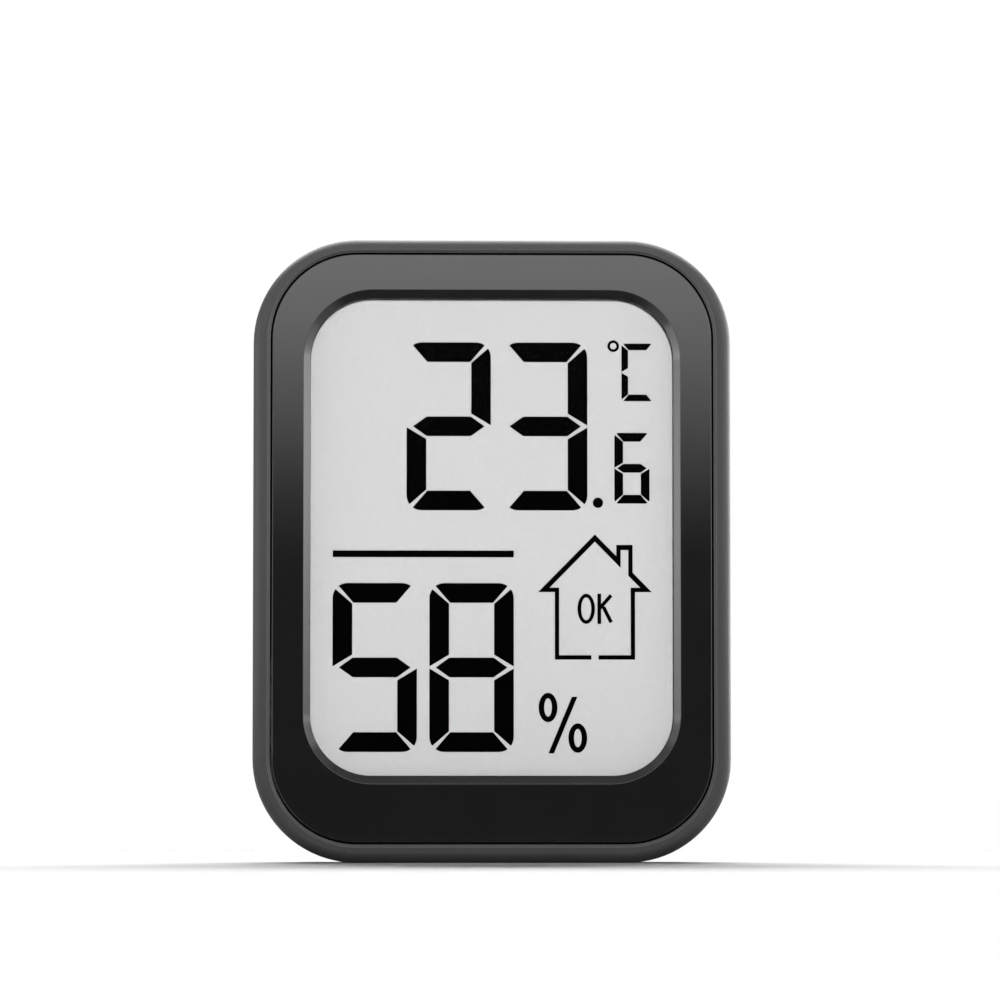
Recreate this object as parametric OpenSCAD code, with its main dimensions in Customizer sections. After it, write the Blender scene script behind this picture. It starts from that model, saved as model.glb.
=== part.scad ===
// Small upright temperature and humidity sensor with a large segment display.
// Its back carries a fold-out stand, a twist-off coin cell cover and a unit button.
// Sizes are in millimetres. +Z is up, the display faces -Y, and the origin is under the middle of the base.
// The reading sets the window, the window and its borders set the case, and the layers set the depth.

/* [Case] */
// Bezel and rim at each side of the window
side_border = 5.5; // [5:0.1:9]
// Bezel and rim above the window
top_border = 5.65; // [5.2:0.05:12]
// Corner radius of the case, seen from the front
corner_r = 10; // [8.5:0.25:10.75]
// Thickness of the side walls, which show as the rim beside the bezel
wall_t = 1.65; // [1.4:0.05:1.8]
// Thickness of the wall above the bezel
top_wall = 1.25; // [1.2:0.05:1.8]
// Thickness of the wall below the bezel
base_wall = 1.75; // [1.4:0.05:2]
// Thickness of the back wall
back_t = 1.6; // [1.3:0.1:2]
// Rounding of the rim's outer front edge
rim_round = 1.1; // [0.6:0.05:1.3]
// Width of the chamfer on the rim's inner front edge, which is as deep as the rim is high
rim_chamfer = 0.25; // [0.1:0.05:0.3]
// Height of the rim above the bezel's front
rim_lift = 0.15; // [0.05:0.05:0.4]
// Rounding of the edge around the back
rear_round = 2.5; // [1:0.1:3]

/* [Bezel] */
// Gap between the bezel and the rim
bezel_gap = 0.15; // [0.1:0.05:0.4]
// Thickness of the bezel's front plate
bezel_t = 1.1; // [1:0.05:1.6]
// Rounding of the bezel's outer front edge
bezel_round = 0.15; // [0.1:0.05:0.5]
// Corner radius of the window
window_r = 5.9; // [5:0.1:7]
// Width of the sloping edge above and below the window
bevel_w = 0.8; // [0.5:0.05:1.2]
// Width of the sloping edge at each side of the window
side_bevel_w = 0.65; // [0.5:0.05:1]
// Depth of the sloping edge above and below the window
bevel_d = 0.7; // [0.4:0.05:0.9]
// Thickness of the skirt behind the bezel
skirt_t = 0.6; // [0.4:0.05:0.8]

/* [Reading] */
// Width of a large digit
digit_w = 8.15; // [7:0.05:10]
// Height of a large digit
digit_h = 16.3; // [14:0.1:20]
// Stroke of a large digit
digit_stroke = 1.9; // [1.4:0.1:2.3]
// Space between two large digits
digit_space = 1.2; // [0.8:0.05:2]
// Space between the two rows of large digits
row_space = 7.05; // [6:0.05:10]
// Space between the lower digits and the house sign
sign_space = 2.35; // [1.5:0.05:4]
// Half the width of the house sign's roof
roof_half = 5.5; // [5:0.05:7]
// Space at the left of the lower digits
side_space = 2.15; // [1.5:0.05:4]
// Space at the right of the house sign
sign_side = 2; // [1.5:0.05:4]
// Space above the reading
top_space = 4.05; // [3:0.05:6]
// Space below the reading
low_space = 2.3; // [1.5:0.05:5]

/* [Display] */
// Thickness of the clear window
lens_t = 0.6; // [0.5:0.05:1.2]
// Overlap of the clear window behind the bezel
lens_lap = 0.95; // [0.6:0.05:1.3]
// Thickness of the tape that holds the clear window
tape_t = 0.1; // [0.1:0.01:0.3]
// Thickness of the foam gasket in front of the display glass
gasket_t = 0.2; // [0.2:0.05:0.6]
// Overlap of the display glass behind the bezel
glass_lap = 0.6; // [0.4:0.05:0.8]
// Thickness of each sheet of display glass
glass_t = 0.45; // [0.4:0.05:0.7]
// Thickness of the liquid crystal layer between the sheets
crystal_t = 0.1; // [0.08:0.01:0.15]
// Thickness of the polariser and of the reflector
film_t = 0.15; // [0.1:0.05:0.3]
// Height of the contact ledge below the display
ledge_h = 1.5; // [1.2:0.05:2.5]

/* [Board] */
// Thickness of the circuit board
board_t = 1; // [0.6:0.1:1.6]
// Thickness of the shelf between the display and the board
shelf_t = 1.1; // [0.8:0.1:2]
// Wall of the display frame
frame_wall = 1.1; // [0.7:0.1:1.3]
// Space between the board and the floor of the cell's well
board_clear = 1.35; // [0.3:0.05:3]
// Width of the square switch under the unit button
switch_w = 4.5; // [4:0.1:5]
// Height of the switch's body
switch_h = 2.4; // [2:0.1:2.8]

/* [Battery] */
// Diameter of the coin cell
cell_d = 20; // [16:0.5:22]
// Thickness of the coin cell
cell_t = 3.2; // [2:0.1:4]
// Thickness of the cover's visible disc
cover_t = 1.1; // [1:0.05:1.5]
// Radial reach of the cover's locking lugs
lug_reach = 0.9; // [0.6:0.05:1.2]
// Thickness of the cover's locking lugs
lug_t = 0.8; // [0.6:0.05:1.2]
// Angle that each locking lug spans
lug_span = 30; // [20:1:40]
// Turn from locked to open
cover_turn = 50; // [46:1:65]
// Width of the coin slot
coin_slot_w = 1.8; // [1.2:0.1:2.4]

/* [Stand] */
// Width of the stand
stand_w = 18; // [12:0.5:20]
// Thickness of the stand
stand_t = 1.8; // [1.5:0.1:2.2]
// Diameter of the stand's hinge pins
pin_d = 1.8; // [1.4:0.1:2.2]
// Angle to which the stand opens
stand_open = 45; // [35:1:55]

/* [Back] */
// Diameter of the unit button
button_d = 4; // [3:0.1:4.5]
// Travel of the unit button
button_travel = 0.3; // [0.2:0.05:0.4]
// Diameter of the hanging hole
hang_d = 3.6; // [3:0.1:4.5]
// Distance of the hanging slot below the top of the case
hang_margin = 4.6; // [3.5:0.1:7]
// Diameter of the magnets
magnet_d = 8; // [5:0.5:9]
// Thickness of the magnets
magnet_t = 2; // [1:0.1:3]
// Number of vent slots on each side
vent_count = 5; // [2:1:6]
// Height of a vent slot
vent_h = 1.2; // [0.8:0.1:1.4]

/* [Screws] */
// Thread diameter of the screws
screw_d = 1.7; // [1.4:0.1:2]
// Head diameter of the screws
head_d = 3; // [2.6:0.1:3.4]
// Head height of the screws
head_h = 1.1; // [0.8:0.1:1.4]

/* [Hidden] */
$fn = 96;

// How far a cutting shape runs past the face that it cuts
over = 1;
// Share of its width by which a cutting slope runs on past the edge that it meets
slope_run = 0.4;
// Clearance of a fixed piece in its seat
seat_gap = 0.1;
// Clearance of a moving piece all round
move_gap = 0.2;
// Radial clearance of a hinge pin in its socket
pin_gap = 0.05;
// Radial clearance between a screw's thread and its hole
thread_gap = 0.02;
// Gap at an electrical contact, too small to see
touch_gap = 0.02;
// Wall of pockets, cups and guides inside the case
inner_wall = 1;
// Plain strip of the back between two openings
land = 1;

// Window, from the reading and the space around it
row_w = 2 * digit_w + digit_space;
window_w = side_space + row_w + sign_space + 2 * roof_half + sign_side;
window_h = low_space + digit_h + row_space + digit_h + top_space;

// Base band below the display, from the screw bosses and the contact ledge
boss_wall = 0.825;
boss_d = screw_d + 2 * boss_wall;
boss_lift = 0.05;
skirt_step = 0.1;
base_screw_z = base_wall + bezel_gap + skirt_step + skirt_t + boss_lift + boss_d / 2;
ledge_gap = 0.25;
ledge_base = base_screw_z + boss_d / 2 + ledge_gap;
rear_glass_base = ledge_base + ledge_h;
window_base = rear_glass_base + glass_lap;

// Overall size and outlines seen from the front
body_w = window_w + 2 * side_border;
body_h = window_base + window_h + top_border;
middle_z = body_h / 2;
opening_w = body_w - 2 * wall_t;
opening_h = body_h - top_wall - base_wall;
opening_z = base_wall + opening_h / 2;
opening_r = corner_r - wall_t;
bezel_w = opening_w - 2 * bezel_gap;
bezel_h = opening_h - 2 * bezel_gap;
bezel_r = opening_r - bezel_gap;
bezel_top = opening_z + bezel_h / 2;
skirt_w = bezel_w - 2 * skirt_step - 2 * skirt_t;
skirt_h = bezel_h - 2 * skirt_step - 2 * skirt_t;
skirt_r = bezel_r - skirt_step - skirt_t;
window_z = window_base + window_h / 2;
window_top = window_base + window_h;
lens_w = window_w + 2 * lens_lap;
lens_h = window_h + 2 * lens_lap;
lens_r = window_r + lens_lap;
glass_w = window_w + 2 * glass_lap;
glass_top = window_top + glass_lap;
glass_corner = 1.2;
rim_flat = 0.05;
rim_round_fit = min(rim_round, min(wall_t, top_wall, base_wall) - rim_chamfer - rim_flat);

// Layers, from the front of the rim to the rear of the board
lock_ledge_t = 0.8;
contact_rise = 0.8;
well_floor_t = 0.9;
front_stack = bezel_t + tape_t + lens_t + gasket_t + 2 * film_t + 2 * glass_t + crystal_t + shelf_t + board_t;
cell_stack = well_floor_t + contact_rise + cell_t + move_gap;
cover_stack = lug_t + lock_ledge_t + cover_t + 3 * seat_gap;
body_d = rim_lift + front_stack + board_clear + cell_stack + cover_stack;
rim_y = -body_d / 2;
front_y = rim_y + rim_lift;
bezel_y = front_y + bezel_t;
lens_y = bezel_y + tape_t;
gasket_y = lens_y + lens_t;
polariser_y = gasket_y + gasket_t;
front_glass_y = polariser_y + film_t;
crystal_y = front_glass_y + glass_t;
rear_glass_y = crystal_y + crystal_t;
reflector_y = rear_glass_y + glass_t;
shelf_y = reflector_y + film_t;
board_y = shelf_y + shelf_t;
board_rear_y = board_y + board_t;

// Layers, from the back of the case to the floor of the cell's well
rear_y = body_d / 2;
inside_y = rear_y - back_t;
flush_y = rear_y - seat_gap;
cover_y = flush_y - cover_t;
cover_seat_y = cover_y - seat_gap;
groove_y = cover_seat_y - lock_ledge_t;
lug_y = groove_y - seat_gap - lug_t;
cell_rear_y = lug_y - move_gap;
cell_y = cell_rear_y - cell_t;
well_y = cell_y - contact_rise;
well_floor_y = well_y - well_floor_t;

// Coin cell, its well and its bayonet cover
cell_gap = 0.3;
cell_cap_inset = 1.2;
cell_cap_t = 0.3;
cell_round = 0.35;
cover_lap = 0.5;
well_r = cell_d / 2 + cell_gap;
lug_r = well_r + lug_reach;
groove_r = lug_r + move_gap;
cover_r = groove_r + cover_lap;
cover_seat_r = cover_r + move_gap;
well_wall_r = groove_r + inner_wall;
plug_r = well_r - move_gap;
plug_wall = 1.4;
lug_count = 3;
lug_start = 15;
lug_slack = 2;
coin_slot_len = 12;
coin_slot_depth = 0.7;
slot_rib = 0.9;
mark_d = 1;
mark_depth = 0.25;
mark_inset = 1.4;

// Heights on the back, from the hanging slot at the top down to the tip of the stand
hang_slot_w = hang_d / 2;
hang_slot_rise = 2;
hang_z = body_h - hang_margin - hang_slot_w / 2 - hang_slot_rise;
cover_z = hang_z - hang_d / 2 - land - cover_seat_r;
recess_top = cover_z - cover_seat_r - land;
hinge_wall = 0.45;
hinge_r = pin_d / 2 + hinge_wall;
heel_h = 1.6;
heel_swing = sqrt(heel_h * heel_h + hinge_r * hinge_r);
hinge_z = recess_top - move_gap - heel_swing;
stand_base = 0.6;

// Stand, hinge and recess
hinge_y = flush_y - hinge_r;
stand_inner_y = flush_y - stand_t;
heel_depth = hinge_y - stand_inner_y;
recess_y = stand_inner_y - move_gap;
recess_w = stand_w + 2 * move_gap;
stop_gap = 0.05;
heel_reach = max(hinge_r, heel_depth * cos(stand_open) + heel_h * sin(stand_open));
heel_pocket_y = hinge_y - heel_reach - stop_gap;
pin_len = 1.4;
socket_wall = 0.6;
socket_x = recess_w / 2 + pin_len + move_gap;
ear_x = socket_x + socket_wall;
grip_count = 3;
grip_d = 0.8;
grip_depth = 0.25;
grip_pitch = 1.4;
grip_z = rear_round + stand_base;
hollow_margin = 2;
hollow_depth = 0.7;
hollow_z0 = grip_z + grip_pitch * grip_count;
hollow_z1 = hinge_z - heel_swing - land;

// Screws
case_screw_inset = 9;
case_screw_x = body_w / 2 - case_screw_inset;
case_screw_len = 6;
board_screw_x = 6.5;
board_screw_len = 3.5;
screw_tip_gap = 0.4;
head_seat_y = flush_y - head_h;
head_web = 1.4;
boss_end_y = head_seat_y - head_web;
drive_w = 0.5;
drive_len = 1.9;
drive_depth = 0.5;

// Magnets, vents and posts inside the back
magnet_inset_x = 7.5;
magnet_inset_z = 9;
magnet_x = body_w / 2 - magnet_inset_x;
magnet_z = body_h - magnet_inset_z;
vent_rib = 1.2;
vent_inset = 3.7;
vent_low = 9.4;
vent_pitch = vent_h + vent_rib;
vent_x0 = ear_x + land;
vent_x1 = body_w / 2 - vent_inset;
vent_x = (vent_x0 + vent_x1) / 2;
vent_z = vent_low + vent_pitch * (vent_count - 1) / 2;
post_d = 3;
post_inset = 4.7;
post_x = body_w / 2 - post_inset;
post_rises = [-9, 5.5];

// Unit button and its switch, between the cover and the side of the case
button_x = (cover_seat_r + body_w / 2 - rear_round) / 2;
dish_wall = 1.2;
dish_d = button_d + 2 * dish_wall;
dish_depth = 0.5;
flange_t = 0.8;
flange_w = 0.8;
stem_d = 2.6;
stem_rise = 1.6;
stem_sink = 1;
stem_top_y = board_rear_y + switch_h + stem_rise;

// Tongues that hook the bezel under the top wall
tongue_w = 5;
tongue_x = 9;
tongue_t = 1.2;
tongue_set = 1;
tongue_grip = 0.45;
tongue_y = bezel_y + tongue_set;
tongue_top = bezel_top + bezel_gap + tongue_grip;

// Display frame, contact strip and board
shelf_lap = 2.2;
shelf_base_lap = 2.6;
frame_corner = 5;
frame_w = glass_w + 2 * seat_gap + 2 * frame_wall;
frame_top = glass_top + seat_gap + frame_wall;
frame_gap = 0.3;
tape_inset = 0.15;
film_inset = 0.1;
seal_inset = 0.05;
seal_w = 0.4;
zebra_gap = 0.1;
zebra_inset = 1;
board_gap = 0.5;
board_w = skirt_w - 2 * board_gap;
board_h = skirt_h - 2 * board_gap;
board_r = skirt_r - board_gap;
boss_hole_gap = 0.3;
slit_w = 0.8;
slit_off = 3;
slit_len = 7;

// Parts on the rear of the board
blob_d = 9;
blob_h = 1.4;
blob_ball_r = (blob_d * blob_d / 4 + blob_h * blob_h) / (2 * blob_h);
sensor_w = 2.5;
sensor_h = 0.9;
sensor_hole_d = 0.8;
can_d = 2;
can_len = 6;
can_lead_d = 0.4;
can_lead_len = 1.6;
can_lead_pitch = 1;
chip_size = [1.6, 0.6, 0.8];
chip_pitch = 2.4;
chip_row_x = 7;
chip_count = 4;

// Contact strips of the cell
contact_t = 0.25;
contact_w = 3.6;
contact_side_gap = 0.3;
contact_leg_x = 7.5;
contact_foot = 4;
contact_peak_x = -2;
contact_tail = [2.5, 0.35];
clip_gap = 0.5;
clip_x = -well_r - clip_gap;
clip_low = 0.6;
clip_high = 0.4;

// Layout of the reading, measured from the middle of the window
digit_gap = 0.28;
bar_end = 1.25;
bar_mitre = 0.35;
bar_lean = 0.6;
bar_tip = 0.32;
bar_point = 0.7;
digit_round = 1.45;
digit_pitch = digit_w + digit_space;
low_digit_x = side_space - window_w / 2;
low_digit_z = low_space - window_h / 2;
top_digit_shift = 7.13;
top_digit_x = low_digit_x + top_digit_shift;
top_digit_z = window_h / 2 - top_space - digit_h;
bar_t = 0.65;
bar_rise = 2.83;
bar_z = low_digit_z + digit_h + bar_rise;
small_w = 3.4;
small_h = 6.85;
small_stroke = 0.84;
small_gap = 0.12;
small_inset = 0.2;
small_rise = 0.68;
small_x = window_w / 2 - sign_side - small_inset - small_w;
small_z = top_digit_z + small_rise;
unit_w = 3.08;
unit_h = 5.6;
unit_stroke = 0.64;
unit_drop = 0.08;
unit_reach = 0.18;
unit_x = window_w / 2 - sign_side + unit_reach - unit_w;
unit_z = top_digit_z + digit_h - unit_drop - unit_h;
degree_d = 1.14;
degree_stroke = 0.26;
degree_off = [0.8, 0.25];
point_d = 1;
point_off = 1.02;
point_rise = 0.75;
house_x = window_w / 2 - sign_side - roof_half;
house_drop = 0.85;
house_z = low_digit_z + digit_h - house_drop;
roof_h = 5.58;
house_half = 3.88;
house_h = 6.53;
chimney_x0 = 2.07;
chimney_x1 = 3.65;
chimney_h = 4.57;
house_stroke = 0.42;
roof_stroke = 0.5;
house_gap = 0.7;
word_h = 2.92;
word_drop = 0.16;
word_stroke = 0.36;
letter_w = 1.69;
letter_space = 0.24;
letter_arm = 0.5;
letter_leg = 0.56;
letter_start = 1.6;
letter_end = 0.15;
word_z = house_z - word_drop - word_h / 2;
percent_space = 2.4;
percent_x = low_digit_x + row_w + percent_space;
percent_oval = [1.82, 2.84];
percent_stroke = 0.54;
percent_slash = [2.27, 5.46];
percent_step = [2.87, -2.95];
percent_drop = 0.13;
percent_lift = 0.22;
oval_points = 48;

// Flat artwork, x to the right and z up, as a slab from depth y0 to depth y1.
module plate(y0, y1) {
    translate([0, y1, 0]) rotate([90, 0, 0]) linear_extrude(y1 - y0) children();
}

// A rod along Y through the point x, z.
module rod(d, y0, y1, x = 0, z = 0) {
    translate([x, y1, z]) rotate([90, 0, 0]) cylinder(d = d, h = y1 - y0);
}

// A rod along X through the point y, z.
module cross_rod(d, x0, x1, y, z) {
    translate([x0, y, z]) rotate([0, 90, 0]) cylinder(d = d, h = x1 - x0);
}

// A block given by its lowest and highest corners.
module block(low, high) {
    translate(low) cube(high - low);
}

// The children on the right and mirrored on the left.
module both_sides() {
    for (side = [0, 1]) mirror([side, 0, 0]) children();
}

// A rectangle with round corners, centred on the origin.
module round_rect(w, h, r) {
    square([w - 2 * r, h], center = true);
    square([w, h - 2 * r], center = true);
    for (x = [-1, 1], z = [-1, 1]) translate([x * (w / 2 - r), z * (h / 2 - r)]) circle(r);
}

// A ring of thickness t inside a rectangle with round corners.
module round_ring(w, h, r, t) {
    difference() {
        round_rect(w, h, r);
        round_rect(w - 2 * t, h - 2 * t, max(r - t, t));
    }
}

// A slot with round ends along x.
module long_slot(w, h) {
    square([w - h, h], center = true);
    for (x = [-1, 1]) translate([x * (w - h) / 2, 0]) circle(d = h);
}

// Points round an oval of the width and height given.
function oval(w, h) =
    [for (i = [0:oval_points - 1]) let(turn = 360 * i / oval_points) [w * cos(turn), h * sin(turn)] / 2];

// An oval ring with a stroke of thickness t.
module oval_ring(w, h, t) {
    difference() {
        polygon(oval(w, h));
        polygon(oval(w - 2 * t, h - 2 * t));
    }
}

// A straight stroke from p to q.
module stroke(p, q, t) {
    run = q - p;
    translate(p) rotate(atan2(run.y, run.x)) translate([0, -t / 2]) square([norm(run), t]);
}

// A strip of thickness t bent along a path, with square ends.
module bent_strip(path, t) {
    for (i = [0:len(path) - 2]) stroke(path[i], path[i + 1], t);
    for (i = [1:len(path) - 2]) translate(path[i]) circle(d = t);
}

// Sweeps a half profile round a rectangle with round corners.
// The profile runs from the middle out to $reach, with depth along its second axis.
module sweep(w, h, r) {
    for (turn = [0:3]) {
        side_x = turn == 0 || turn == 3 ? 1 : -1;
        side_z = turn < 2 ? -1 : 1;
        translate([side_x * (w / 2 - r), 0, side_z * (h / 2 - r)]) rotate([0, 90 * turn, 0])
            rotate([-90, 0, 0]) rotate_extrude(angle = 90) let($reach = r) children();
    }
    for (side = [0, 1]) {
        mirror([side, 0, 0]) translate([0, 0, r - h / 2]) linear_extrude(h - 2 * r)
            let($reach = w / 2) children();
        mirror([0, 0, side]) translate([w / 2 - r, 0, 0]) rotate([0, -90, 0]) linear_extrude(w - 2 * r)
            let($reach = h / 2) children();
    }
}

// Half profile of a slab from depth y0 to depth y1 with rounded outer edges.
module slab_profile(y0, y1, front, rear) {
    translate([0, y0 + front]) square([$reach, y1 - y0 - front - rear]);
    translate([0, y0]) square([$reach - front, (y1 - y0) / 2]);
    translate([0, (y0 + y1) / 2]) square([$reach - rear, (y1 - y0) / 2]);
    if (front > 0) translate([$reach - front, y0 + front]) circle(front);
    if (rear > 0) translate([$reach - rear, y1 - rear]) circle(rear);
}

// Half profile of an opening that flares towards the front.
module flared_profile(y0, y1, flare_w, flare_d) {
    polygon([
        [0, y0 - over],
        [$reach + flare_w, y0 - over],
        [$reach + flare_w, y0],
        [$reach, y0 + flare_d],
        [$reach, y1],
        [0, y1]
    ]);
}

// Half profile of a slope that narrows to $reach at the depth d, and runs on past it.
module slope_profile(y0, w, d) {
    polygon([
        [0, y0 - over],
        [$reach + w, y0 - over],
        [$reach + w, y0],
        [$reach - slope_run * w, y0 + (1 + slope_run) * d],
        [0, y0 + (1 + slope_run) * d]
    ]);
}

// The outer form of the case, drawn in by inset on every side.
module case_form(inset) {
    translate([0, 0, middle_z]) sweep(body_w - 2 * inset, body_h - 2 * inset, corner_r - inset)
        slab_profile(rim_y + inset, rear_y - inset, rim_round_fit, rear_round);
}

// A sector round the cover's axis, between two angles from the locked lug's edge.
module lug_sector(y0, y1, r, from, to) {
    rotate([0, lug_start + from, 0]) rotate([-90, 0, 0]) rotate_extrude(angle = to - from)
        translate([0, y0]) square([r, y1 - y0]);
}

// Three copies round the cover's axis.
module each_lug() {
    for (lug = [0:lug_count - 1]) translate([0, 0, cover_z]) rotate([0, lug * 360 / lug_count, 0]) children();
}

// The space of the folded stand and its hinge, grown by a wall.
module stand_space(wall) {
    side = recess_w / 2 + wall;
    block([-side, recess_y - wall, -over], [side, rear_y + over, hinge_z]);
    block([-side, heel_pocket_y - wall, hinge_z - heel_swing - wall],
          [side, rear_y + over, recess_top + wall]);
}

module vents() {
    for (row = [0:vent_count - 1]) translate([vent_x, 0, vent_low + vent_pitch * row])
        plate(inside_y - over, rear_y + over) long_slot(vent_x1 - vent_x0, vent_h);
}

module hang_opening() {
    rod(hang_d, inside_y - over, rear_y + over, 0, hang_z);
    translate([0, 0, hang_z]) plate(inside_y - over, rear_y + over) {
        translate([-hang_slot_w / 2, 0]) square([hang_slot_w, hang_slot_rise]);
        translate([0, hang_slot_rise]) circle(d = hang_slot_w);
    }
}

module cover_opening() {
    rod(2 * cover_seat_r, cover_seat_y, rear_y + over, 0, cover_z);
    rod(2 * well_r, well_y, rear_y + over, 0, cover_z);
    lug_end = cover_turn + lug_span + lug_slack;
    each_lug() {
        lug_sector(lug_y - seat_gap, groove_y, groove_r, -lug_slack, lug_end + lug_slack);
        lug_sector(lug_y, rear_y, groove_r, cover_turn - lug_slack, lug_end);
    }
    for (turn = [0, cover_turn]) translate([0, 0, cover_z]) rotate([0, turn, 0])
        rod(mark_d, rear_y - mark_depth, rear_y + over, -cover_seat_r - mark_inset);
}

module contact_openings() {
    half_w = contact_w / 2 + contact_side_gap;
    slot = contact_t / 2 + contact_side_gap;
    block([contact_leg_x - slot, well_floor_y - over, cover_z - half_w],
          [contact_leg_x + slot, well_y + over, cover_z + half_w]);
    block([clip_x - slot, well_floor_y - over, cover_z - half_w],
          [inner_wall - well_r, cell_rear_y, cover_z + half_w]);
}

// A tongue of the bezel from the height given, grown by a gap.
module tongue(gap, base) {
    block([tongue_x - tongue_w / 2 - gap, tongue_y - gap, base],
          [tongue_x + tongue_w / 2 + gap, tongue_y + tongue_t + gap, tongue_top + gap]);
}

module rear_case() {
    color([0.16, 0.16, 0.165]) difference() {
        union() {
            difference() {
                case_form(0);
                translate([0, 0, opening_z]) sweep(opening_w, opening_h, opening_r)
                    flared_profile(rim_y, inside_y, rim_chamfer, rim_lift);
            }
            intersection() {
                case_form(seat_gap);
                union() {
                    stand_space(inner_wall);
                    block([-ear_x, heel_pocket_y - inner_wall, hinge_z - heel_swing],
                          [ear_x, rear_y, recess_top]);
                    rod(2 * well_wall_r, well_floor_y, rear_y, 0, cover_z);
                    both_sides() {
                        rod(boss_d, boss_end_y, rear_y, case_screw_x, base_screw_z);
                        rod(magnet_d + 2 * inner_wall, inside_y - magnet_t, rear_y, magnet_x, magnet_z);
                        for (rise = post_rises)
                            rod(post_d, board_rear_y + seat_gap, rear_y, post_x, cover_z + rise);
                    }
                }
            }
        }
        stand_space(0);
        cross_rod(pin_d + 2 * pin_gap, -socket_x, socket_x, hinge_y, hinge_z);
        cover_opening();
        contact_openings();
        hang_opening();
        both_sides() {
            vents();
            rod(magnet_d + 2 * seat_gap, inside_y - magnet_t - over, inside_y, magnet_x, magnet_z);
            rod(head_d + 2 * move_gap, head_seat_y, rear_y + over, case_screw_x, base_screw_z);
            rod(screw_d + 2 * move_gap, boss_end_y - over, rear_y, case_screw_x, base_screw_z);
            tongue(move_gap, bezel_top);
        }
        rod(button_d + 2 * seat_gap, inside_y - over, rear_y + over, button_x, cover_z);
        rod(dish_d, rear_y - dish_depth, rear_y + over, button_x, cover_z);
    }
}

module front_bezel() {
    color([0.02, 0.02, 0.022]) difference() {
        union() {
            translate([0, 0, opening_z]) {
                sweep(bezel_w, bezel_h, bezel_r) slab_profile(front_y, bezel_y, bezel_round, 0);
                plate(bezel_y - seat_gap, board_rear_y)
                    round_ring(skirt_w + 2 * skirt_t, skirt_h + 2 * skirt_t, skirt_r + skirt_t, skirt_t);
            }
            both_sides() {
                rod(boss_d, bezel_y - seat_gap, boss_end_y, case_screw_x, base_screw_z);
                rod(boss_d, bezel_y - seat_gap, board_y, board_screw_x, base_screw_z);
                tongue(0, bezel_top - skirt_step - skirt_t / 2);
            }
        }
        translate([0, 0, window_z]) {
            plate(front_y - over, bezel_y + over) round_rect(window_w, window_h, window_r);
            sweep(window_w + 2 * (side_bevel_w - bevel_w), window_h, window_r)
                slope_profile(front_y, bevel_w, bevel_d);
        }
        both_sides() {
            rod(screw_d + 2 * thread_gap, head_seat_y - case_screw_len - screw_tip_gap, boss_end_y + over,
                case_screw_x, base_screw_z);
            rod(screw_d + 2 * thread_gap, board_rear_y - board_screw_len - screw_tip_gap, board_y + over,
                board_screw_x, base_screw_z);
        }
    }
}

module window_tape() {
    color([0.05, 0.05, 0.05]) translate([0, 0, window_z]) plate(bezel_y, lens_y)
        round_ring(lens_w, lens_h, lens_r, lens_lap - tape_inset);
}

module display_window() {
    color([0.85, 0.87, 0.88, 0.4]) translate([0, 0, window_z]) plate(lens_y, gasket_y)
        round_rect(lens_w, lens_h, lens_r);
}

module lcd_gasket() {
    color([0.08, 0.08, 0.08]) translate([0, 0, window_z]) plate(gasket_y, polariser_y)
        round_ring(lens_w, lens_h, lens_r, lens_lap);
}

// A sheet of the display between two heights, drawn in at every edge.
module glass_sheet(base, inset) {
    translate([0, (base + glass_top) / 2])
        round_rect(glass_w - 2 * inset, glass_top - base - 2 * inset, glass_corner);
}

module lcd_polariser() {
    color([0.78, 0.8, 0.78, 0.4]) plate(polariser_y, front_glass_y) glass_sheet(rear_glass_base, film_inset);
}

module lcd_front_glass() {
    color([0.8, 0.85, 0.85, 0.4]) plate(front_glass_y, crystal_y) glass_sheet(ledge_base, 0);
}

module lcd_rear_glass() {
    color([0.8, 0.85, 0.85, 0.4]) plate(rear_glass_y, reflector_y) glass_sheet(rear_glass_base, 0);
}

module lcd_reflector() {
    color([0.83, 0.83, 0.83]) plate(reflector_y, shelf_y) glass_sheet(rear_glass_base, film_inset);
}

module lcd_seal() {
    color([0.6, 0.6, 0.55]) plate(crystal_y, rear_glass_y) difference() {
        glass_sheet(rear_glass_base, seal_inset);
        glass_sheet(rear_glass_base, seal_inset + seal_w);
    }
}

// Outline of one bar of a seven-bar digit, named a to g in the usual order.
function bar_outline(name, w, h, t, gap) =
    let(mid = h / 2, outer = bar_end * gap, inner = bar_mitre * gap)
    let(tip = bar_tip * t, run = bar_point * t, lean = bar_lean * t)
    let(top = [[outer, h], [w - outer, h], [w - t - inner, h - t], [t + inner, h - t]])
    let(side = [[w, h - outer], [w, mid + inner], [w - t, mid + inner + lean], [w - t, h - t - inner]])
    name == "a" ? top
    : name == "b" ? side
    : name == "c" ? [for (p = side) [p.x, h - p.y]]
    : name == "d" ? [for (p = top) [p.x, h - p.y]]
    : name == "e" ? [for (p = side) [w - p.x, h - p.y]]
    : name == "f" ? [for (p = side) [w - p.x, p.y]]
    : [[tip, mid], [tip + run, mid + t / 2], [w - tip - run, mid + t / 2],
       [w - tip, mid], [w - tip - run, mid - t / 2], [tip + run, mid - t / 2]];

// A digit with the named bars on, its lower left corner at the point given.
module digit(at, w, h, t, gap, bars, r) {
    translate(at) intersection() {
        translate([w / 2, h / 2]) round_rect(w, h, r);
        for (name = bars) polygon(bar_outline(name, w, h, t, gap));
    }
}

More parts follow.
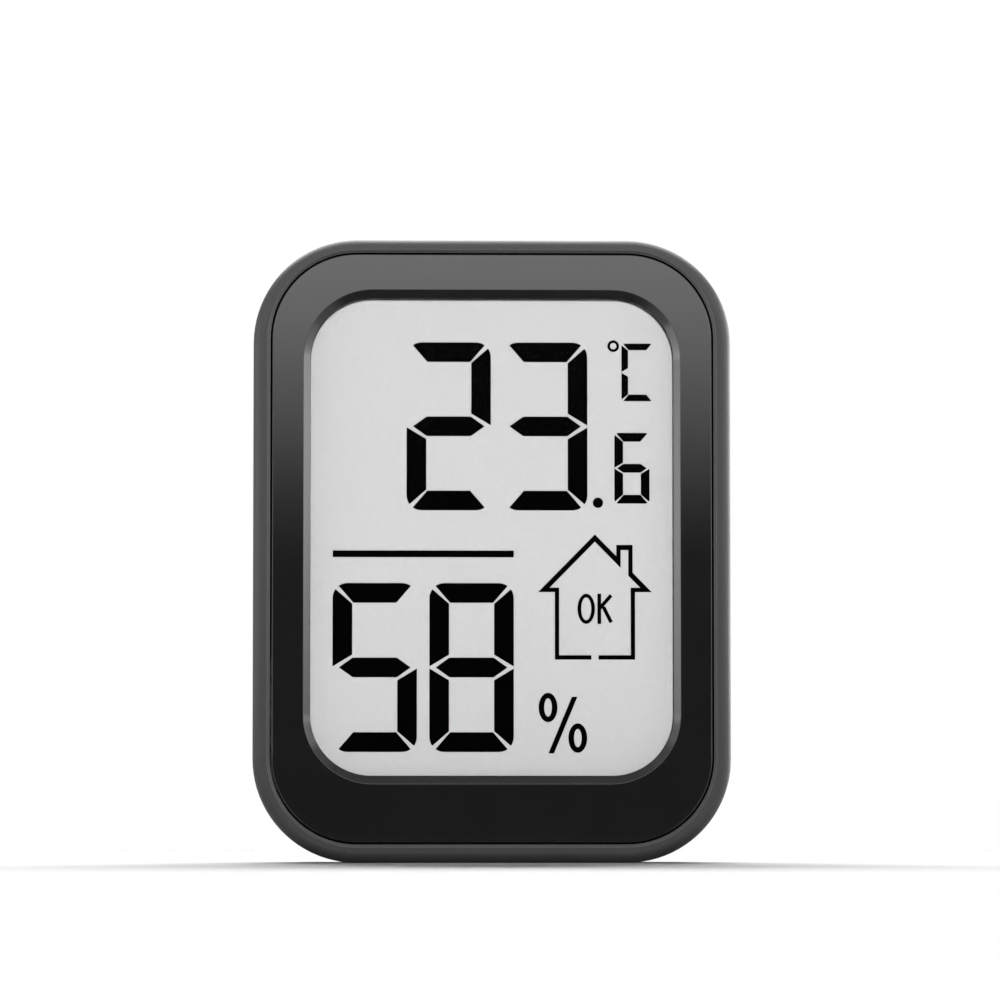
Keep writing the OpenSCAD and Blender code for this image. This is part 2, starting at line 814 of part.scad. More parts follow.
// Outline of the house sign, drawn in by two insets, from the apex round to the left eave.
function house_outline(inset, roof_inset) =
    let(pitch = atan2(roof_h, roof_half), rise = roof_inset / cos(pitch))
    let(eave = roof_half - (inset + rise) / tan(pitch))
    let(x0 = chimney_x0 + inset, x1 = chimney_x1 - inset, wall = house_half - inset)
    [[0, roof_h - rise],
     [x0, (roof_half - x0) * tan(pitch) - rise],
     [x0, chimney_h - roof_inset],
     [x1, chimney_h - roof_inset],
     [x1, (roof_half - x1) * tan(pitch) - rise],
     [eave, inset],
     [wall, inset],
     [wall, inset - house_h],
     [-wall, inset - house_h],
     [-wall, inset],
     [-eave, inset]];

module house_sign() {
    difference() {
        polygon(house_outline(0, 0));
        polygon(house_outline(house_stroke, roof_stroke));
        translate([0, house_stroke / 2 - house_h]) square([house_gap, house_stroke + over], center = true);
    }
}

module ok_sign() {
    end_x = letter_w - word_stroke;
    translate([-letter_w / 2, 0]) oval_ring(letter_w, word_h, word_stroke);
    translate([letter_space, -word_h / 2]) {
        square([word_stroke, word_h]);
        stroke([word_stroke / 2, word_h * letter_arm], [end_x, word_h - letter_end], word_stroke);
        stroke([word_stroke * letter_start, word_h * letter_leg], [end_x, letter_end], word_stroke);
    }
}

// A percent sign whose left edge and foot are near the origin, with a slash cut level at both ends.
module percent_sign() {
    reach = percent_slash / 2;
    half = [percent_stroke / 2, 0];
    translate([(percent_oval.x + percent_step.x) / 2, reach.y - percent_drop]) {
        polygon([-reach - half, half - reach, reach + half, reach - half]);
        for (side = [-1, 1]) translate(side * percent_step / 2 + [0, percent_lift])
            oval_ring(percent_oval.x, percent_oval.y, percent_stroke);
    }
}

module lcd_segments() {
    top = [top_digit_x, top_digit_z];
    low = [low_digit_x, low_digit_z];
    layer = [crystal_y + touch_gap, rear_glass_y - touch_gap];
    color([0.01, 0.01, 0.01]) translate([0, 0, window_z]) plate(layer[0], layer[1]) {
        digit(top, digit_w, digit_h, digit_stroke, digit_gap, "abged", digit_round);
        digit(top + [digit_pitch, 0], digit_w, digit_h, digit_stroke, digit_gap, "abgcd", digit_round);
        digit(low, digit_w, digit_h, digit_stroke, digit_gap, "afgcd", digit_round);
        digit(low + [digit_pitch, 0], digit_w, digit_h, digit_stroke, digit_gap, "abcdefg", digit_round);
        digit([small_x, small_z], small_w, small_h, small_stroke, small_gap, "acdefg", small_stroke / 2);
        digit([unit_x, unit_z], unit_w, unit_h, unit_stroke, small_gap, "adef", unit_stroke / 2);
        translate(top + [digit_pitch + digit_w + point_off, point_rise]) circle(d = point_d);
        translate([unit_x - degree_off.x, unit_z + unit_h - degree_off.y]) difference() {
            circle(d = degree_d);
            circle(d = degree_d - 2 * degree_stroke);
        }
        translate([low_digit_x, bar_z - bar_t / 2]) square([row_w, bar_t]);
        translate([house_x, house_z]) house_sign();
        translate([house_x, word_z]) ok_sign();
        translate([percent_x, low_digit_z]) percent_sign();
    }
}

module lcd_frame() {
    color([0.75, 0.75, 0.74]) difference() {
        union() {
            intersection() {
                block([-frame_w / 2, shelf_y, rear_glass_base], [frame_w / 2, board_y, frame_top]);
                translate([0, 0, opening_z]) plate(shelf_y, board_y)
                    round_rect(skirt_w - 2 * frame_gap, skirt_h - 2 * frame_gap, skirt_r - frame_gap);
            }
            both_sides() block([frame_w / 2 - frame_wall, polariser_y, ledge_base + frame_corner],
                               [frame_w / 2, board_y, glass_top - frame_corner]);
            block([frame_corner - glass_w / 2, polariser_y, frame_top - frame_wall],
                  [glass_w / 2 - frame_corner, board_y, frame_top]);
        }
        block([shelf_lap - glass_w / 2, shelf_y - over, rear_glass_base + shelf_base_lap],
              [glass_w / 2 - shelf_lap, board_y + over, glass_top - shelf_lap]);
    }
}

module zebra_strip() {
    color([0.85, 0.3, 0.5]) block([zebra_inset - glass_w / 2, crystal_y, ledge_base + zebra_gap],
                                  [glass_w / 2 - zebra_inset, board_y, rear_glass_base - zebra_gap]);
}

module main_board() {
    color([0.1, 0.35, 0.15]) difference() {
        translate([0, 0, opening_z]) plate(board_y, board_rear_y) round_rect(board_w, board_h, board_r);
        both_sides() {
            rod(boss_d + 2 * boss_hole_gap, board_y - over, board_rear_y + over, case_screw_x, base_screw_z);
            rod(screw_d + 2 * seat_gap, board_y - over, board_rear_y + over, board_screw_x, base_screw_z);
        }
        translate([vent_x, 0, vent_z]) plate(board_y - over, board_rear_y + over) {
            translate([-slit_off, 0]) rotate(90) long_slot(slit_len, slit_w);
            translate([0, slit_off]) long_slot(slit_len, slit_w);
        }
    }
}

module controller_blob() {
    color([0.03, 0.03, 0.03]) translate([0, 0, vent_z]) intersection() {
        translate([0, board_rear_y + blob_h - blob_ball_r, 0]) sphere(blob_ball_r);
        rod(blob_d + over, board_rear_y, board_rear_y + blob_h + over);
    }
}

module sensor_chip() {
    half_w = sensor_w / 2;
    top_y = board_rear_y + sensor_h;
    color([0.12, 0.12, 0.13]) translate([vent_x, 0, vent_z]) difference() {
        block([-half_w, board_rear_y, -half_w], [half_w, top_y, half_w]);
        rod(sensor_hole_d, top_y - sensor_h / 2, top_y + over);
    }
}

module clock_crystal() {
    centre_y = board_rear_y + can_d / 2 + touch_gap;
    color([0.75, 0.75, 0.76]) translate([-vent_x, 0, vent_z]) {
        cross_rod(can_d, -can_len / 2, can_len / 2, centre_y, 0);
        for (side = [-1, 1]) cross_rod(can_lead_d, can_len / 2, can_len / 2 + can_lead_len, centre_y,
                                       side * can_lead_pitch / 2);
    }
}

module chip_parts() {
    color([0.55, 0.45, 0.35]) for (row = [-1, 1], i = [0:chip_count - 1])
        translate([row * chip_row_x - chip_size.x / 2, board_rear_y,
                   vent_z + chip_pitch * (i - chip_count / 2)]) cube(chip_size);
}

module switch_body() {
    top_y = board_rear_y + switch_h;
    color([0.1, 0.1, 0.1]) translate([button_x, 0, cover_z]) difference() {
        block([-switch_w / 2, board_rear_y, -switch_w / 2], [switch_w / 2, top_y, switch_w / 2]);
        rod(stem_d + 2 * seat_gap, top_y - stem_sink - button_travel - seat_gap, top_y + over);
    }
}

module switch_stem() {
    color([0.9, 0.9, 0.88]) rod(stem_d, board_rear_y + switch_h - stem_sink, stem_top_y, button_x, cover_z);
}

module unit_button() {
    flange_y = inside_y - move_gap - flange_t;
    color([0.1, 0.1, 0.105]) {
        rod(button_d, flange_y, flush_y, button_x, cover_z);
        rod(button_d + 2 * flange_w, flange_y, flange_y + flange_t, button_x, cover_z);
        rod(stem_d, stem_top_y, flush_y, button_x, cover_z);
    }
}

module negative_contact() {
    foot_y = well_y + contact_t / 2;
    peak_y = cell_y - contact_t / 2 - touch_gap;
    color([0.8, 0.78, 0.7]) translate([0, 0, cover_z - contact_w / 2]) linear_extrude(contact_w) bent_strip([
        [contact_leg_x, board_rear_y],
        [contact_leg_x, foot_y],
        [contact_leg_x - contact_foot, foot_y],
        [contact_peak_x, peak_y],
        [contact_peak_x - contact_tail.x, peak_y - contact_tail.y]
    ], contact_t);
}

module positive_contact() {
    color([0.8, 0.78, 0.7]) translate([0, 0, cover_z - contact_w / 2]) linear_extrude(contact_w) bent_strip([
        [clip_x, board_rear_y],
        [clip_x, well_y + clip_low],
        [-cell_d / 2 - contact_t / 2 - touch_gap, (cell_y + cell_rear_y) / 2],
        [clip_x, cell_rear_y - clip_high]
    ], contact_t);
}

module coin_cell() {
    color([0.78, 0.78, 0.78]) translate([0, 0, cover_z]) rotate([-90, 0, 0]) rotate_extrude() {
        translate([0, cell_y]) square([cell_d / 2 - cell_cap_inset, cell_t]);
        translate([0, cell_y + cell_cap_t]) square([cell_d / 2, cell_t - cell_cap_t - cell_round]);
        translate([0, cell_y + cell_cap_t]) square([cell_d / 2 - cell_round, cell_t - cell_cap_t]);
        translate([cell_d / 2 - cell_round, cell_rear_y - cell_round]) circle(cell_round);
    }
}

module battery_cover() {
    color([0.15, 0.15, 0.155]) difference() {
        union() {
            rod(2 * cover_r, cover_y, flush_y, 0, cover_z);
            difference() {
                union() {
                    rod(2 * plug_r, lug_y, cover_y, 0, cover_z);
                    each_lug() lug_sector(lug_y, lug_y + lug_t, lug_r, 0, lug_span);
                }
                rod(2 * (plug_r - plug_wall), lug_y - over, cover_y, 0, cover_z);
            }
            block([-coin_slot_len / 2 - slot_rib, cover_y - slot_rib, cover_z - coin_slot_w / 2 - slot_rib],
                  [coin_slot_len / 2 + slot_rib, cover_y, cover_z + coin_slot_w / 2 + slot_rib]);
        }
        block([-coin_slot_len / 2, flush_y - coin_slot_depth, cover_z - coin_slot_w / 2],
              [coin_slot_len / 2, flush_y + over, cover_z + coin_slot_w / 2]);
        rod(mark_d, flush_y - mark_depth, flush_y + over, mark_inset - cover_r, cover_z);
    }
}

module stand() {
    half_w = stand_w / 2;
    color([0.15, 0.15, 0.155]) {
        difference() {
            intersection() {
                case_form(seat_gap);
                union() {
                    block([-half_w, stand_inner_y, stand_base], [half_w, rear_y, hinge_z + heel_h]);
                    cross_rod(2 * hinge_r, -half_w, half_w, hinge_y, hinge_z);
                }
            }
            for (i = [0:grip_count - 1])
                cross_rod(grip_d, -half_w + hollow_margin, half_w - hollow_margin,
                          flush_y + grip_d / 2 - grip_depth, grip_z + grip_pitch * i);
            both_sides() block([inner_wall / 2, stand_inner_y - over, hollow_z0],
                               [half_w - hollow_margin, stand_inner_y + hollow_depth, hollow_z1]);
        }
        both_sides() cross_rod(pin_d, half_w - pin_len, half_w + move_gap + pin_len, hinge_y, hinge_z);
    }
}

module magnets() {
    color([0.7, 0.7, 0.72]) both_sides() rod(magnet_d, inside_y - magnet_t, inside_y, magnet_x, magnet_z);
}

// A screw along Y with its head towards the back and a cross recess in the head.
module screw(x, seat_y, length) {
    translate([x, 0, base_screw_z]) difference() {
        union() {
            rod(head_d, seat_y, seat_y + head_h);
            rod(screw_d, seat_y - length, seat_y);
        }
        for (turn = [0, 90]) rotate([0, turn, 0])
            block([-drive_len / 2, seat_y + head_h - drive_depth, -drive_w / 2],
                  [drive_len / 2, seat_y + head_h + over, drive_w / 2]);
    }
}

module case_screws() {
    color([0.6, 0.6, 0.62]) for (side = [-1, 1]) screw(side * case_screw_x, head_seat_y, case_screw_len);
}

module board_screws() {
    color([0.6, 0.6, 0.62]) for (side = [-1, 1]) screw(side * board_screw_x, board_rear_y, board_screw_len);
}

rear_case();
front_bezel();
window_tape();
display_window();
lcd_gasket();
lcd_polariser();
lcd_front_glass();
lcd_segments();
lcd_seal();
lcd_rear_glass();
lcd_reflector();
lcd_frame();
zebra_strip();
main_board();
controller_blob();
sensor_chip();
clock_crystal();
chip_parts();
switch_body();
switch_stem();
unit_button();
negative_contact();
positive_contact();
coin_cell();
battery_cover();
stand();
magnets();
case_screws();
board_screws();
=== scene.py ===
import bpy
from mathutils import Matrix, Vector


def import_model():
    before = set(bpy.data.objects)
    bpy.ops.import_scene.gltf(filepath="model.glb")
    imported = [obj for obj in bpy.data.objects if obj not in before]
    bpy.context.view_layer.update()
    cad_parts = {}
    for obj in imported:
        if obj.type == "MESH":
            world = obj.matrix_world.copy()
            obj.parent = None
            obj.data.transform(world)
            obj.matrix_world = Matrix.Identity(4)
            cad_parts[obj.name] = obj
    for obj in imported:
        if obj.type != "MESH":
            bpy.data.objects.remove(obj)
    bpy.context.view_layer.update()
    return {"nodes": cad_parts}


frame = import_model()
MM = 0.001


# Shader tools

# Most of a noise pattern lies between these greys, and nearly all of it between the wide ones.
GREYS = (0.35, 0.65)
WIDE_GREYS = (0.3, 0.7)
# How alike the true and the rounded normal are on a flat face, and at an edge.
FLAT = 1.0
ROUNDED = 0.97


def node(tree, kind, inputs=None, **settings):
    """A new shader node, with its settings made and its inputs set or linked."""
    made = tree.nodes.new("ShaderNode" + kind)
    for name, value in settings.items():
        setattr(made, name, value)
    for name, value in (inputs or {}).items():
        if isinstance(value, bpy.types.NodeSocket):
            tree.links.new(value, made.inputs[name])
        else:
            made.inputs[name].default_value = value
    return made


def bare_material(name):
    """A new material without nodes, and its tree."""
    material = bpy.data.materials.new(name)
    material.use_nodes = True
    material.node_tree.nodes.clear()
    return material, material.node_tree


def set_surface(tree, shader):
    node(tree, "OutputMaterial", {"Surface": shader.outputs[0]})


def object_place(tree, stretch=(1, 1, 1)):
    """The place on the part in metres, drawn out along an axis where a pattern is longer that way."""
    place = node(tree, "TexCoord").outputs["Object"]
    return node(tree, "Mapping", {"Vector": place, "Scale": stretch}).outputs[0]


def noise(tree, place, size, detail=2.0):
    """A cloudy pattern whose patches are about the given size."""
    return node(tree, "TexNoise", {"Vector": place, "Scale": 1 / size, "Detail": detail}).outputs[0]


def ramp(tree, value, start, end, low, high, **settings):
    """A number that goes from low to high while the value goes from start to end."""
    inputs = {"Value": value, "From Min": start, "From Max": end, "To Min": low, "To Max": high}
    return node(tree, "MapRange", inputs, **settings).outputs[0]


def varied(tree, factor, middle, change):
    """A number that a grey factor moves to both sides of its middle."""
    return ramp(tree, factor, *WIDE_GREYS, middle - change, middle + change)


def grey(tone):
    return (tone, tone, tone)


def shade(colour, share):
    """A colour made darker or lighter."""
    return tuple(channel * share for channel in colour)


def tones(tree, factor, dark, light):
    """A grey factor spread between two colours."""
    made = node(tree, "ValToRGB", {"Fac": factor})
    for stop, place, colour in zip(made.color_ramp.elements, GREYS, (dark, light)):
        stop.position = place
        stop.color = (*colour, 1)
    return made.outputs[0]


def mottled(tree, factor, colour, dark, light):
    """A grey factor spread between a dark and a light share of one colour."""
    return tones(tree, factor, shade(colour, dark), shade(colour, light))


def soft_edges(tree, radius):
    """Normals that round the sharp edges a little."""
    return node(tree, "Bevel", {"Radius": radius}, samples=6).outputs[0]


# Finds the sharp edges that are painted lighter, for wear and for a painted highlight.
def edge_wear_and_highlight(tree, reach):
    """1 at a sharp edge, and 0 away from it."""
    facing = {0: soft_edges(tree, reach), 1: node(tree, "NewGeometry").outputs["Normal"]}
    likeness = node(tree, "VectorMath", facing, operation="DOT_PRODUCT").outputs["Value"]
    return ramp(tree, likeness, FLAT, ROUNDED, 0, 1)


def blend(tree, share, colour, other):
    """One colour that goes over to another by a share."""
    mixed = node(tree, "Mix", data_type="RGBA")
    for socket, value in ((0, share), (6, colour)):
        tree.links.new(value, mixed.inputs[socket])
    mixed.inputs[7].default_value = (*other, 1)
    return mixed.outputs[2]


def relief(tree, height, depth, edge_radius):
    """Normals for a pattern of the given depth, on softened edges."""
    inputs = {"Height": height, "Distance": depth, "Strength": 1.0, "Normal": soft_edges(tree, edge_radius)}
    return node(tree, "Bump", inputs).outputs[0]


# Materials

# The normal's Y where the bezel's front goes over to its slopes, and its slopes to the cut edges.
FRONT_TO_SLOPE = (-1.0, -0.95)
SLOPE_TO_EDGE = (-0.5, -0.2)
QUARTER_TURN = 1.5708
# The length of one band of a wave texture at scale 1.
WAVE_BAND = 0.314


def moulded_plastic(name, colour, roughness, grain=0.2 * MM, depth=0.02 * MM, wear_and_painted_highlight=1.15):
    """Plastic from an eroded mould: a fine even grain, faint clouds where it flowed, and edges painted
    lighter, partly as wear and partly as a painted highlight.
    """
    material, tree = bare_material(name)
    place = object_place(tree)
    clouds = noise(tree, place, size=9 * MM)
    plain = mottled(tree, clouds, colour, dark=0.92, light=1.08)
    # Sharp edges are painted lighter: partly wear, and partly a painted highlight.
    wear_and_highlight_mask = edge_wear_and_highlight(tree, reach=0.15 * MM)
    grains = noise(tree, place, grain, detail=4.0)
    set_surface(tree, node(tree, "BsdfPrincipled", {
        "Base Color": blend(tree, wear_and_highlight_mask, plain, shade(colour, wear_and_painted_highlight)),
        "Roughness": varied(tree, clouds, roughness, change=0.03),
        "Specular IOR Level": 0.35,
        "Normal": relief(tree, grains, depth, edge_radius=0.03 * MM),
    }))
    return material


def gloss_plastic(name, colour, polished, satin, dull):
    """Plastic polished to a mirror on its front, with long shallow waves, satin slopes and dull cut edges."""
    material, tree = bare_material(name)
    place = object_place(tree)
    facing = node(tree, "SeparateXYZ", {0: node(tree, "TexCoord").outputs["Normal"]}).outputs["Y"]
    beside = ramp(tree, facing, *SLOPE_TO_EDGE, satin, dull)
    haze = noise(tree, place, size=5 * MM)
    waves = noise(tree, place, size=6 * MM)
    set_surface(tree, node(tree, "BsdfPrincipled", {
        "Base Color": mottled(tree, haze, colour, dark=0.9, light=1.1),
        "Roughness": ramp(tree, facing, *FRONT_TO_SLOPE, polished, beside),
        "Normal": relief(tree, waves, depth=0.002 * MM, edge_radius=0.08 * MM),
    }))
    return material


def clear_sheet(name, tint, ior, roughness):
    """Clear plastic or glass: light goes straight through, and the front mirrors by its angle."""
    material, tree = bare_material(name)
    through = node(tree, "BsdfTransparent", {"Color": (*tint, 1)})
    mirror = node(tree, "BsdfGlossy", {"Roughness": roughness})
    angle = node(tree, "Fresnel", {"IOR": ior})
    front = node(tree, "MixShader", {0: angle.outputs[0], 1: through.outputs[0], 2: mirror.outputs[0]})
    rear_side = node(tree, "NewGeometry").outputs["Backfacing"]
    set_surface(tree, node(tree, "MixShader", {0: rear_side, 1: front.outputs[0], 2: through.outputs[0]}))
    return material


def speckled(name, colour, roughness, size, contrast=0.1, depth=0.0, shine=0.5):
    """A surface with a fine speckle, such as film, ink, resin or ceramic."""
    material, tree = bare_material(name)
    specks = noise(tree, object_place(tree), size, detail=3.0)
    set_surface(tree, node(tree, "BsdfPrincipled", {
        "Base Color": mottled(tree, specks, colour, 1 - contrast, 1 + contrast),
        "Roughness": varied(tree, specks, roughness, change=0.05),
        "Specular IOR Level": shine,
        "Normal": relief(tree, specks, depth, edge_radius=0.05 * MM),
    }))
    return material


def foam(name, colour, cell):
    """Closed-cell foam, with the cells of its cut face."""
    material, tree = bare_material(name)
    cells = node(tree, "TexVoronoi", {"Vector": object_place(tree), "Scale": 1 / cell}).outputs[0]
    set_surface(tree, node(tree, "BsdfPrincipled", {
        "Base Color": mottled(tree, cells, colour, dark=0.7, light=1.2),
        "Roughness": 0.9,
        "Normal": relief(tree, cells, depth=0.03 * MM, edge_radius=0.05 * MM),
    }))
    return material


def metal(name, colour, roughness, stretch):
    """Rolled or plated metal, with fine lines along one axis."""
    material, tree = bare_material(name)
    lines = noise(tree, object_place(tree, stretch), size=0.15 * MM, detail=4.0)
    set_surface(tree, node(tree, "BsdfPrincipled", {
        "Base Color": mottled(tree, lines, colour, dark=0.9, light=1.05),
        "Metallic": 1.0,
        "Roughness": varied(tree, lines, roughness, change=0.06),
        "Normal": relief(tree, lines, depth=0.004 * MM, edge_radius=0.08 * MM),
    }))
    return material


def circuit_board(name, mask, copper, pitch):
    """Solder mask over a grid of copper runs, which show through it as a lighter tone."""
    material, tree = bare_material(name)
    place = node(tree, "TexCoord").outputs["Object"]
    upright = node(tree, "Mapping", {"Vector": place, "Rotation": (QUARTER_TURN, 0, 0)}).outputs[0]
    runs = node(tree, "TexBrick", {
        "Vector": upright,
        "Scale": 1 / pitch,
        "Color1": (*mask, 1),
        "Color2": (*shade(mask, 0.85), 1),
        "Mortar": (*copper, 1),
        "Mortar Size": 0.03,
    })
    gloss = noise(tree, place, size=2 * MM)
    set_surface(tree, node(tree, "BsdfPrincipled", {
        "Base Color": runs.outputs["Color"],
        "Roughness": varied(tree, gloss, middle=0.36, change=0.06),
        "Normal": relief(tree, runs.outputs["Fac"], depth=0.03 * MM, edge_radius=0.05 * MM),
    }))
    return material


def striped_rubber(name, dark, light, pitch):
    """Soft rubber with conducting layers across its length."""
    material, tree = bare_material(name)
    place = object_place(tree)
    bands = {"Vector": place, "Scale": WAVE_BAND / pitch}
    layers = node(tree, "TexWave", bands, bands_direction="X").outputs[1]
    gloss = noise(tree, place, size=1 * MM)
    set_surface(tree, node(tree, "BsdfPrincipled", {
        "Base Color": tones(tree, layers, dark, light),
        "Roughness": varied(tree, gloss, middle=0.55, change=0.05),
    }))
    return material


# Finishes

CASE = (0.02, 0.02, 0.021)
BUTTON = shade(CASE, 0.85)
BEZEL = (0.005, 0.005, 0.0053)
SEAL = (0.64, 0.64, 0.63)
CERAMIC = (0.3, 0.2, 0.13)
SPRING = (0.74, 0.71, 0.62)
PLATING = (0.72, 0.72, 0.73)
STEEL = (0.62, 0.62, 0.63)
DARK_STEEL = shade(STEEL, 0.65)
ALONG_X = (0.05, 1, 1)
ALONG_Y = (1, 0.05, 1)

# The case and button edges are painted four times lighter: a painted highlight more than wear.
case_plastic = moulded_plastic("case_plastic", CASE, roughness=0.5, wear_and_painted_highlight=4)
button_plastic = moulded_plastic("button_plastic", BUTTON, roughness=0.36, grain=0.14 * MM, wear_and_painted_highlight=4)
frame_plastic = moulded_plastic("frame_plastic", (0.66, 0.66, 0.65), roughness=0.5)
stem_white = moulded_plastic("stem_white", (0.78, 0.78, 0.75), roughness=0.4)
bezel_gloss = gloss_plastic("bezel_gloss", BEZEL, polished=0.045, satin=0.2, dull=0.7)
clear_window = clear_sheet("clear_window", grey(0.99), ior=1.06, roughness=0.02)
polariser_film = clear_sheet("polariser_film", grey(0.98), ior=1.02, roughness=0.1)
display_glass = clear_sheet("display_glass", grey(0.985), ior=1.02, roughness=0.05)
segment_black = speckled("segment_black", grey(0.001), 0.7, size=0.4 * MM, shine=0.0)
seal_resin = speckled("seal_resin", SEAL, 0.6, size=0.5 * MM, contrast=0.03, shine=0.0)
display_ground = speckled("display_ground", grey(0.66), 0.6, size=0.25 * MM, contrast=0.02, shine=0.0)
reflector_film = speckled("reflector_film", grey(0.74), 0.5, size=0.25 * MM, contrast=0.02)
epoxy_black = speckled("epoxy_black", grey(0.01), 0.3, size=0.3 * MM, contrast=0.2, depth=0.01 * MM)
chip_ceramic = speckled("chip_ceramic", CERAMIC, 0.55, size=0.2 * MM, contrast=0.15, depth=0.01 * MM)
foam_black = foam("foam_black", grey(0.012), cell=0.15 * MM)
contact_rubber = striped_rubber("contact_rubber", grey(0.1), (0.7, 0.15, 0.3), pitch=0.4 * MM)
board_green = circuit_board("board_green", (0.015, 0.1, 0.03), (0.06, 0.22, 0.06), pitch=4 * MM)
spring_metal = metal("spring_metal", SPRING, roughness=0.28, stretch=ALONG_X)
bright_metal = metal("bright_metal", PLATING, roughness=0.16, stretch=ALONG_Y)
cell_steel = metal("cell_steel", STEEL, roughness=0.24, stretch=ALONG_X)
screw_steel = metal("screw_steel", DARK_STEEL, roughness=0.34, stretch=ALONG_Y)

FINISHES = {
    "rear_case": case_plastic,
    "stand": case_plastic,
    "battery_cover": case_plastic,
    "unit_button": button_plastic,
    "front_bezel": bezel_gloss,
    "window_tape": foam_black,
    "lcd_gasket": foam_black,
    "display_window": clear_window,
    "lcd_polariser": polariser_film,
    "lcd_front_glass": display_glass,
    "lcd_segments": segment_black,
    "lcd_seal": seal_resin,
    # The reflector is bonded to the rear glass, so the glass shows its grey.
    "lcd_rear_glass": display_ground,
    "lcd_reflector": reflector_film,
    "lcd_frame": frame_plastic,
    "zebra_strip": contact_rubber,
    "main_board": board_green,
    "controller_blob": epoxy_black,
    "sensor_chip": epoxy_black,
    "switch_body": epoxy_black,
    "clock_crystal": bright_metal,
    "magnets": bright_metal,
    "chip_parts": chip_ceramic,
    "switch_stem": stem_white,
    "negative_contact": spring_metal,
    "positive_contact": spring_metal,
    "coin_cell": cell_steel,
    "case_screws": screw_steel,
    "board_screws": screw_steel,
}
for name, finish in FINISHES.items():
    frame["nodes"][name].data.materials[0] = finish

# Light goes to the display and back through the clear layers without loss.
for name in ("display_window", "lcd_polariser", "lcd_front_glass"):
    frame["nodes"][name].visible_shadow = False
    frame["nodes"][name].visible_diffuse = False


# Studio tools

def to_scene(made):
    bpy.context.scene.collection.objects.link(made)


def aim(made, place, target):
    """Puts a lamp or the camera at a place and points it at the target."""
    made.location = place
    made.rotation_euler = (Vector(target) - Vector(place)).to_track_quat("-Z", "Y").to_euler()


def sheet(name, corner, across, up):
    """A flat sheet from one corner, along two edges."""
    corner, across, up = Vector(corner), Vector(across), Vector(up)
    mesh = bpy.data.meshes.new(name)
    mesh.from_pydata([corner, corner + across, corner + across + up, corner + up], [], [(0, 1, 2, 3)])
    made = bpy.data.objects.new(name, mesh)
    to_scene(made)
    return made


def card(name, corner, across, up):
    """The material tree of a new card that shows only in gloss."""
    made = sheet(name, corner, across, up)
    material, tree = bare_material(name)
    made.data.materials.append(material)
    made.visible_camera = False
    made.visible_shadow = False
    made.visible_diffuse = False
    return tree


def even_card(name, corner, across, up, tone):
    """A card with one tone all over."""
    tree = card(name, corner, across, up)
    set_surface(tree, node(tree, "Emission", {"Strength": tone}))


def faded_card(name, corner, across, up, heights, glows):
    """A card that goes from one tone to another between two heights."""
    tree = card(name, corner, across, up)
    height = node(tree, "SeparateXYZ", {0: node(tree, "TexCoord").outputs["Object"]}).outputs["Z"]
    glow = ramp(tree, height, *heights, *glows, interpolation_type="SMOOTHSTEP")
    set_surface(tree, node(tree, "Emission", {"Strength": glow}))


def lamp(name, kind, place, target, power):
    """A lamp that points at the target and doesn't show in gloss."""
    made = bpy.data.objects.new(name, bpy.data.lights.new(name, kind))
    made.data.energy = power
    aim(made, place, target)
    made.visible_glossy = False
    to_scene(made)
    return made


def floor(half, tone):
    """A plain white floor, which takes the object's shadow."""
    made = sheet("floor", (-half, -half, 0), (2 * half, 0, 0), (0, 2 * half, 0))
    material, tree = bare_material("floor_white")
    set_surface(tree, node(tree, "BsdfDiffuse", {"Color": (*grey(tone), 1)}))
    made.data.materials.append(material)


def shown_directly(tree):
    """1 for what the camera sees straight, in a reflection or through something clear."""
    path = node(tree, "LightPath").outputs
    seen = path["Is Camera Ray"]
    for kind in ("Is Glossy Ray", "Is Transmission Ray"):
        seen = node(tree, "Math", {0: seen, 1: path[kind]}, operation="MAXIMUM").outputs[0]
    return seen


def world(ambient):
    """White where it is seen, and a weak fill on what it lights."""
    made = bpy.data.worlds.new("studio")
    made.use_nodes = True
    tree = made.node_tree
    tree.nodes.clear()
    fill = node(tree, "Background", {"Strength": ambient})
    white = node(tree, "Background", {"Color": (1, 1, 1, 1), "Strength": 1.0})
    mixed = node(tree, "MixShader", {0: shown_directly(tree), 1: fill.outputs[0], 2: white.outputs[0]})
    node(tree, "OutputWorld", {"Surface": mixed.outputs[0]})
    bpy.context.scene.world = made


def camera(place, target, lens):
    made = bpy.data.objects.new("camera", bpy.data.cameras.new("camera"))
    made.data.lens = lens
    made.data.sensor_width = 36
    made.data.clip_start = 0.01
    aim(made, place, target)
    to_scene(made)
    bpy.context.scene.camera = made


# Studio, in metres

floor(half=0.2, tone=0.93)
world(ambient=0.12)

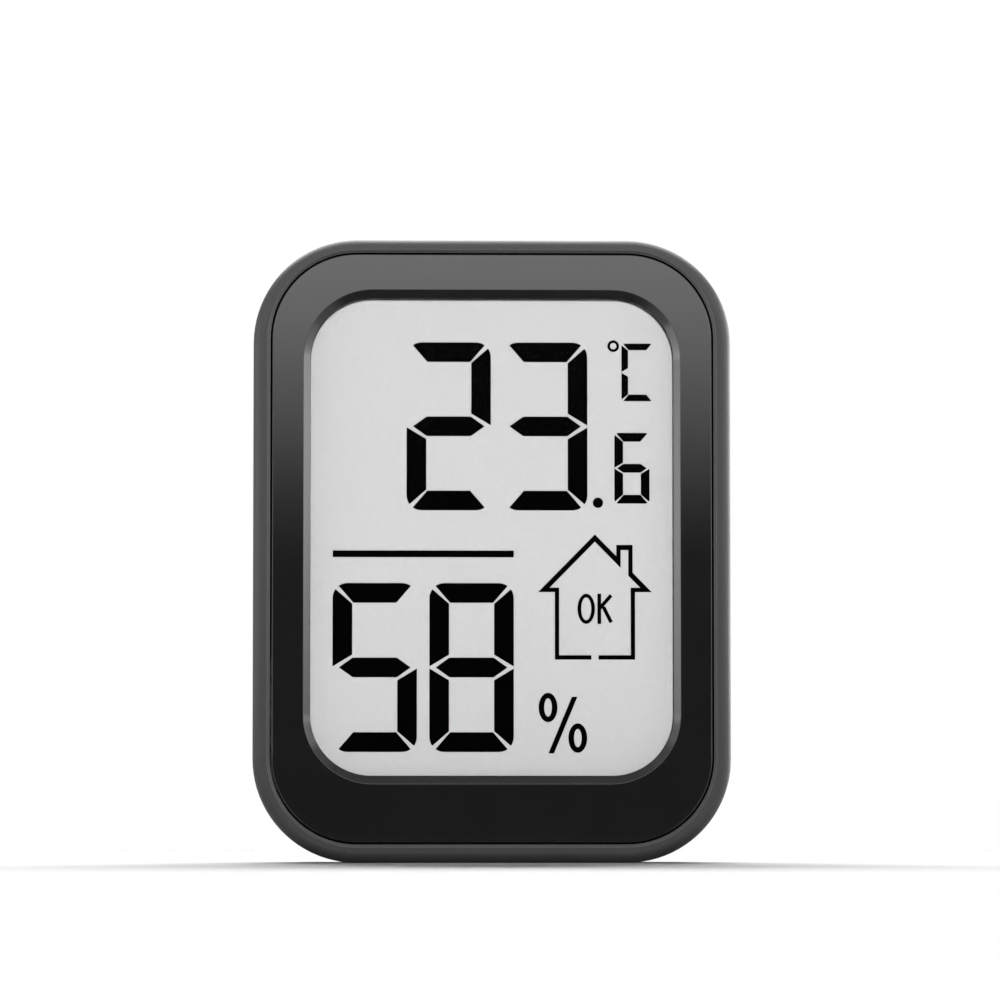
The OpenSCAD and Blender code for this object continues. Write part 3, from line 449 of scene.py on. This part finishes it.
# In front of the bezel, dark below and light above
faded_card(
    "front_panel",
    corner=(-0.6, -1.0, -0.1),
    across=(1.2, 0, 0),
    up=(0, 0, 1.0),
    heights=(0.075, 0.182),
    glows=(0.14, 3.7),
)

# Beside the window's slopes, rising outwards
for side, foot, brightest in ((-1, -0.05, 16), (1, -0.022, 18)):
    faded_card(
        "side_panel",
        corner=(side * 0.06, -0.22, 0.011),
        across=(0, 0.24, 0),
        up=(side * 1.14, 0, 0.16),
        heights=(foot, 0.2),
        glows=(1, brightest),
    )

# Overhead, one in front of the other: the name, the front edge, the depth and the tone
OVERHEAD_Z = 0.5
OVERHEAD_HALF = 0.4
OVERHEAD = (
    ("top_panel", -0.02, 0.63, 7),
    ("grey_card", -0.135, 0.115, 0.3),
    ("brow_panel", -0.42, 0.285, 2.5),
)
for name, front, depth, tone in OVERHEAD:
    even_card(name, (-OVERHEAD_HALF, front, OVERHEAD_Z), (2 * OVERHEAD_HALF, 0, 0), (0, depth, 0), tone)

# Upright at the sides: one to the right and behind, and one on each side in front
SIDE_X = 0.5
SIDE_Z = -0.3
SIDE_UP = (0, 0, 0.6)
faded_card(
    "right_panel",
    corner=(SIDE_X, 0.02, SIDE_Z),
    across=(0, 0.64, 0),
    up=SIDE_UP,
    heights=(0, 0.15),
    glows=(10, 7),
)
for side, tone in ((-1, 2.6), (1, 5.5)):
    even_card("corner_panel", (side * SIDE_X, -0.5, SIDE_Z), (0, 0.4, 0), SIDE_UP, tone)

# The display's lamp, and two broad ones behind that throw the shadow forward
softbox = lamp("front_softbox", "AREA", place=(0, -1.2, 0.06), target=(0, 0, 0.03), power=11.1)
softbox.data.size = 0.1
softbox.visible_camera = False
for side in (-1, 1):
    sun = lamp("rear_light", "SUN", place=(side * 0.15, 0.58, 0.5), target=(0, 0, 0), power=2.36)
    sun.data.angle = 0.5

camera(place=(-0.011, -0.5, 0.004), target=(0.00093, 0, 0.0353), lens=184.7)
bpy.context.scene.view_settings.view_transform = "Standard"
